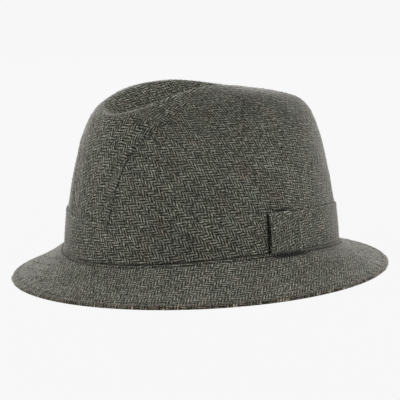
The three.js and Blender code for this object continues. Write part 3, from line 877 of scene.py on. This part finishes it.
def strip_section():
    """Height and distance off for the folded strip, round its section: up the face, over the fold, down behind.

    The fold is fuller than the rest of the strip, and the lower edge is drawn in where it is sewn down.
    """
    fold = BAND_CLOTH / 2
    turn = np.linspace(0, math.pi, 9)[1:-1]
    hem, top = np.linspace(0, HEM_TOP, 7), np.linspace(FOLD_FOOT, BAND_HEIGHT - fold, 7)
    up = np.concatenate([hem[:-1], np.linspace(HEM_TOP, FOLD_FOOT, 22), top[1:]])
    full = BAND_CLOTH + FOLD_FULLNESS * bell(up, BAND_HEIGHT, FOLD_REACH)
    full = full - HEM_DRAW * bell(up, 0, HEM_DRAW_REACH)
    over = fold + (full[-1] - fold) * np.cos(turn)
    heights = np.concatenate([up, BAND_HEIGHT - fold + fold * np.sin(turn), up[::-1]])
    return heights, np.concatenate([full, np.maximum(over, 0), np.zeros(len(up))])


def band_loops():
    """The strip's section, carried round the wall, with waves that lift and lower its folded edge.

    Where the sum of two quick waves is above zero, the crest of the fold and the roll just above the hem get
    painted highlights. The hem gets a painted shadow, a dark bell, and so does the tuck before the tab, where the
    lines are crowded.
    """
    even = np.linspace(0, 2 * math.pi, BAND_TURNS + 1)
    crowded = 2 * math.pi + TUCK_ANGLE - TAB_MIDDLE + TUCK_WIDTH * np.linspace(-4, 4, TUCK_LINES)
    angle = TAB_MIDDLE + np.sort(np.concatenate([even, crowded]))
    angle = np.where(angle > math.pi, angle - 2 * math.pi, angle)
    heights, offs = strip_section()
    share = heights / BAND_HEIGHT
    waver = 0.75 * np.sin(5 * angle + 2.44) + 0.14 * np.sin(17 * angle) + 0.1 * np.sin(41 * angle + 2)
    height = heights[None] + waver[:, None] * share[None] ** 2
    loose = LOOSENESS * (1 + np.sin(11 * angle + 1) * np.sin(23 * angle))
    tuck = TUCK_DEPTH * bell(angle, TUCK_ANGLE, TUCK_WIDTH)
    off = GAP + offs[None] + loose[:, None] * share[None] ** 8 - tuck[:, None] * (offs > 0.9)[None]
    face = offs > 0
    points = over_wall(angle[:, None], height, off)
    points = points + outward(angle)[:, None] * (softness(points) * BAND_SOFTNESS * face[None])[..., None]
    walked = arc_lengths(over_wall(angle[:, None], np.full((1, 1), BAND_MIDDLE), np.zeros((1, 1))), 0)
    section = np.concatenate([arc_lengths(np.stack([heights, offs], -1), 0), [STRIP_ROUND]])
    pattern = turned(walked, section[None], BAND_STRIPES)
    highlight_mask = np.clip(0.6 * np.sin(71 * angle) + 0.6 * np.sin(113 * angle + 2), 0, 1)[:, None]
    crest = FOLD_HIGHLIGHT * bell(heights, FOLD_HIGHLIGHT_HEIGHT, FOLD_HIGHLIGHT_REACH) * face
    low_roll = HEM_ROLL_HIGHLIGHT * bell(heights, HEM_ROLL_HIGHLIGHT_HEIGHT, HEM_ROLL_HIGHLIGHT_REACH) * face
    hem = HEM_SHADE * bell(heights, 0, HEM_REACH)[None] * hem_strength(angle)[:, None]
    in_tuck = TUCK_SHADE * bell(angle, TUCK_SHADE_ANGLE, TUCK_WIDTH)[:, None]
    wool_factor_with_painted_light = (1 + highlight_mask * (crest + low_roll)[None]) * (1 - hem) * (1 - in_tuck)
    wool_factor_with_painted_light = wool_factor_with_painted_light * over_tab(angle[:, None], height)
    return points[:-1], pattern, wool_factor_with_painted_light[:-1, :, None]


band = closed_mesh("band_tweed_strip", *band_loops(), band_tweed, "band_tweed")
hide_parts("band")

# %% [markdown]
# ## The tab
#
# A short folded piece covers the join of the band on the wearer's left. It is cut across the cloth, so its
# stripes stand up where the band's lie down. It is caught at its ends and behind, and stands open in front.

# %% Fold the tab
TAB_START, TAB_END, TAB_CUT_START, TAB_CUT_DEPTH = 1.466, 1.726, 1.658, 7.6
TAB_FOOT, TAB_TOP = 0.4, 27.7
TAB_CLOTH, TAB_RIM_THINNING, TAB_RIM_SHARE = 1.4, 0.45, 0.03
TAB_LIFT, TAB_LIFT_SHARE, TAB_HELD_DOWN = 2.3, 0.32, 0.7
TAB_END_LIFT, TAB_END_SHARE = 0.5, 0.12
# A painted highlight just inside the tab's rims.
TAB_RIM_HIGHLIGHT, TAB_RIM_HIGHLIGHT_INSET, TAB_RIM_HIGHLIGHT_SHARE = 0.8, 0.012, 0.014
TAB_ROWS, TAB_COLUMNS = 61, 61
TAB_STRIPES = math.radians(55)


def tab_loops():
    """A small sheet over the band. Its lift is highest on the front fold and dies out up, down and backwards.

    Two small bells lift its back end over the fold beneath, and its foot over the hem. The rims are thinner, and
    a line just inside them gets a painted highlight.
    """
    back_share = np.linspace(0, 1, TAB_ROWS)[:, None]
    angle = TAB_START + (TAB_END - TAB_START) * back_share
    cut = np.clip((angle - TAB_CUT_START) / (TAB_END - TAB_CUT_START), 0, 1) * TAB_CUT_DEPTH
    up_share = np.linspace(0, 1, TAB_COLUMNS)[None]
    height = TAB_FOOT + (TAB_TOP - cut - TAB_FOOT) * up_share
    held_down = 1 - TAB_HELD_DOWN * np.abs(2 * up_share - 1) ** 4
    ends = bell(back_share, 1, TAB_END_SHARE) + bell(up_share, 0, TAB_END_SHARE)
    lift = TAB_LIFT * held_down * bell(back_share, 0, TAB_LIFT_SHARE, 1.5) + TAB_END_LIFT * ends
    seat = GAP + BAND_CLOTH + GAP + lift
    edge = np.minimum(np.minimum(up_share, 1 - up_share), np.minimum(back_share, 1 - back_share))
    thin = 1 - TAB_RIM_THINNING * bell(edge, 0, TAB_RIM_SHARE, 1.5)
    inner = over_wall(angle, height, seat)
    outer = over_wall(angle, height, seat + TAB_CLOTH * thin)
    outer = outer + outward(angle) * softness(outer)[..., None]
    walked, section = arc_lengths(outer, 0), arc_lengths(outer, 1)
    pattern = turned(walked, section, TAB_STRIPES)
    wool_factor_with_painted_light = (1 + TAB_RIM_HIGHLIGHT * bell(edge, TAB_RIM_HIGHLIGHT_INSET, TAB_RIM_HIGHLIGHT_SHARE))[..., None]
    return round_sheet(outer, inner, pattern, wool_factor_with_painted_light)


tab = closed_mesh("band_tab_fold", *tab_loops(), band_tweed, "band_tweed")
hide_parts("band_tab")

# %% [markdown]
# ## The brim
#
# The brim is two layers of tweed cut as a ring, turned at the edge and stitched a few millimetres inside it. A
# ring that slopes is part of a cone, and a cone can be laid flat without stretching, so the pattern is that flat
# cone. Its stripes run from front to back, and its join is at the back. The cut yarn ends in the turned edge are
# half a millimetre wide, and are drawn a millimetre wide so that they show; their dark cells also stand for
# painted shade on the edge. The wool is darkened by painted shade at the band's foot, in the stitches and by the
# tab.

# %% Lay out the brim
BRIM_CLOTH = 3.0
BRIM_TURNS = 900
BRIM_CONE, BRIM_STRIPES = 0.84, math.radians(86.8)
BRIM_SWELL = 1.4
EDGE_THICKNESS, EDGE_FLARE, EDGE_HEIGHT, EDGE_OUT = 1.6, 0.35, 0.45, 0.25
EDGE_ROUND, EDGE_DROP = 1.4, 0.55
COLLAR_CLEARANCE, COLLAR_ROUND = 1.0, 0.4
STITCH_INSET, STITCH_LENGTH = 4.2, 2.9
STITCH_GROOVE, STITCH_GROOVE_WIDTH, STITCH_PUCKER_REACH = 0.45, 0.8, 3.5
FOOT_HOLLOW, FOOT_HOLLOW_OUT, FOOT_HOLLOW_WIDTH = 1.0, 1.4, 0.4
HOLLOW_SHADE, STITCH_SHADE = 0.97, 0.3
# Each shade of the tab has a strength, a bell round the brim and a bell outwards.
UNDER_TAB = 0.93, (1.62, 0.15, 6), (2.2, 1.7, 4)
BEHIND_TAB = 0.35, (2.02, 0.3, 4), (1.5, 2.5, 2)
# Cells along the turned edge: three dark ones, partly cut yarn ends and partly painted shade of the edge, then
# rust, cream, and the wool as it is.
RAW_EDGE_WIDTH, RAW_EDGE_GRAIN, RAW_EDGE_CELLS = 3.6, 1.0, 6
RAW_EDGE_TINTS_AND_SHADE = np.array([
    (0.32, 0.3, 0.28), (0.4, 0.4, 0.38), (0.45, 0.4, 0.34), (0.75, 0.52, 0.42), (1.45, 1.38, 1.2), (1, 1, 1)])


def brim_top(angle, out):
    """Height of the upper side: straight down from the foot to the edge, then drawn down by the flare."""
    foot = foot_height(angle) - GAP
    return EDGE_THICKNESS + (foot - EDGE_THICKNESS) * (1 - out) * (1 - EDGE_FLARE * out)


def brim_point(angle, out, up, inset):
    """A point on the way out from the foot's ellipse to the edge's ellipse."""
    length = FOOT_HALF_LENGTH + (EDGE_HALF_LENGTH - FOOT_HALF_LENGTH) * out - inset
    width = FOOT_HALF_WIDTH + (EDGE_HALF_WIDTH - FOOT_HALF_WIDTH) * out - inset
    return place(FOOT_FORWARD * (1 - out) + length * np.cos(angle), width * np.sin(angle), up)


def brim_loops():
    """Round the section: the upper side, the rounded edge, the under side and the collar inside.

    Waves round the brim waver its edge, and others pucker it beside the stitches. Painted shade darkens the wool
    in the hollow at the band's foot, at each stitch, and below and behind the tab. Along the turned edge, cells
    of
    wool are drawn by lot: three dark ones, partly yarn ends and partly painted shade of the edge, then rust,
    cream, and as it was.
    """
    angle = np.linspace(-math.pi, math.pi, BRIM_TURNS + 1)[:, None]
    width = EDGE_HALF_WIDTH - FOOT_HALF_WIDTH
    out = np.concatenate([
        np.linspace(0, 0.12, 16)[:-1], np.linspace(0.12, 0.84, 30)[:-1], np.linspace(0.84, 1, 26)])[None]
    walked_out, inset = out * width, (1 - out) * width
    waver = 0.18 * np.sin(23 * angle) + 0.14 * np.sin(37 * angle + 1) + 0.1 * np.sin(61 * angle + 2)
    groove = bell(inset, STITCH_INSET, STITCH_GROOVE_WIDTH)
    perimeter = math.pi * (EDGE_HALF_LENGTH + EDGE_HALF_WIDTH)
    stitch_wave = 0.5 + 0.5 * np.cos(angle * round(perimeter / STITCH_LENGTH))
    puckers = 0.16 * np.sin(angle * 97 + 0.7) + 0.12 * np.sin(angle * 61)
    relief = puckers * bell(inset, STITCH_INSET, STITCH_PUCKER_REACH, 1)
    relief = relief - STITCH_GROOVE * groove * (1 - STITCH_SHARE + STITCH_SHARE * stitch_wave)
    upper = brim_point(angle, out, brim_top(angle, out), 0)
    rounding = np.clip(1 - inset / EDGE_ROUND, 0, 1) ** 2
    in_hollow = bell(walked_out, FOOT_HOLLOW_OUT, FOOT_HOLLOW_WIDTH)
    swell = softness(upper) * BRIM_SWELL * np.sin(out * math.pi)
    lift = relief - FOOT_HOLLOW * in_hollow + swell - EDGE_DROP * rounding
    upper = upper + place(0, 0, lift) + outward(angle) * (waver * rounding)[..., None]
    edge = brim_point(angle, 1, EDGE_HEIGHT, 0) + outward(angle) * (EDGE_OUT + waver)[..., None]
    under_out = np.linspace(0.995, 0, 30)[None]
    under_height = np.maximum(0, brim_top(angle, under_out) - BRIM_CLOTH)
    under = brim_point(angle, under_out, under_height, 0)
    collar, collar_top = FOOT_TUCK + CROWN_CLOTH + COLLAR_CLEARANCE, foot_height(angle) - GAP
    inside = [brim_point(angle, 0, collar_top - drop, collar + round_in) for drop, round_in in (
        (BRIM_CLOTH, 0), (BRIM_CLOTH / 2, COLLAR_ROUND), (0, 0))]
    points = np.concatenate([upper, edge, under] + inside, 1)

    closed = np.concatenate([points, points[:, :1]], 1)
    from_apex = np.hypot(closed[:, :1, 0], closed[:, :1, 1]) / BRIM_CONE + arc_lengths(closed, 1)
    turn = BRIM_CONE * np.arctan2(closed[..., 0], -closed[..., 1])
    turn[0], turn[-1] = -BRIM_CONE * math.pi, BRIM_CONE * math.pi
    pattern = turned(from_apex * np.sin(turn), -from_apex * np.cos(turn), BRIM_STRIPES)

    # Painted shade in the hollow at the band's foot, at each stitch, and under and behind the tab.
    shade = (1 - HOLLOW_SHADE * in_hollow * hem_strength(angle)) * (1 - STITCH_SHADE * groove * stitch_wave)
    for strength, round_brim, outwards in (UNDER_TAB, BEHIND_TAB):
        shade = shade * (1 - strength * bell(angle, *round_brim) * bell(walked_out, *outwards))
    drawn = np.random.default_rng(5).integers(0, len(RAW_EDGE_TINTS_AND_SHADE), (BRIM_TURNS + 1, RAW_EDGE_CELLS))
    cell = np.clip(inset[0] / RAW_EDGE_GRAIN, 0, RAW_EDGE_CELLS - 1).astype(int)
    raw = bell(inset, 0, RAW_EDGE_WIDTH)[..., None]
    upper_shade_and_tint = shade[..., None] * (1 + (RAW_EDGE_TINTS_AND_SHADE[drawn[:, cell]] - 1) * raw)
    edge_shade_and_tint = RAW_EDGE_TINTS_AND_SHADE[drawn[:, :1]]
    rest_factor = np.ones((BRIM_TURNS + 1, points.shape[1] - upper_shade_and_tint.shape[1] - 1, 3))
    wool_factor_with_painted_light = np.concatenate([upper_shade_and_tint, edge_shade_and_tint, rest_factor], 1)
    return points[:-1], pattern, wool_factor_with_painted_light[:-1]


brim = closed_mesh("brim_tweed_ring", *brim_loops(), brim_tweed, "brim_tweed")
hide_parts("brim")
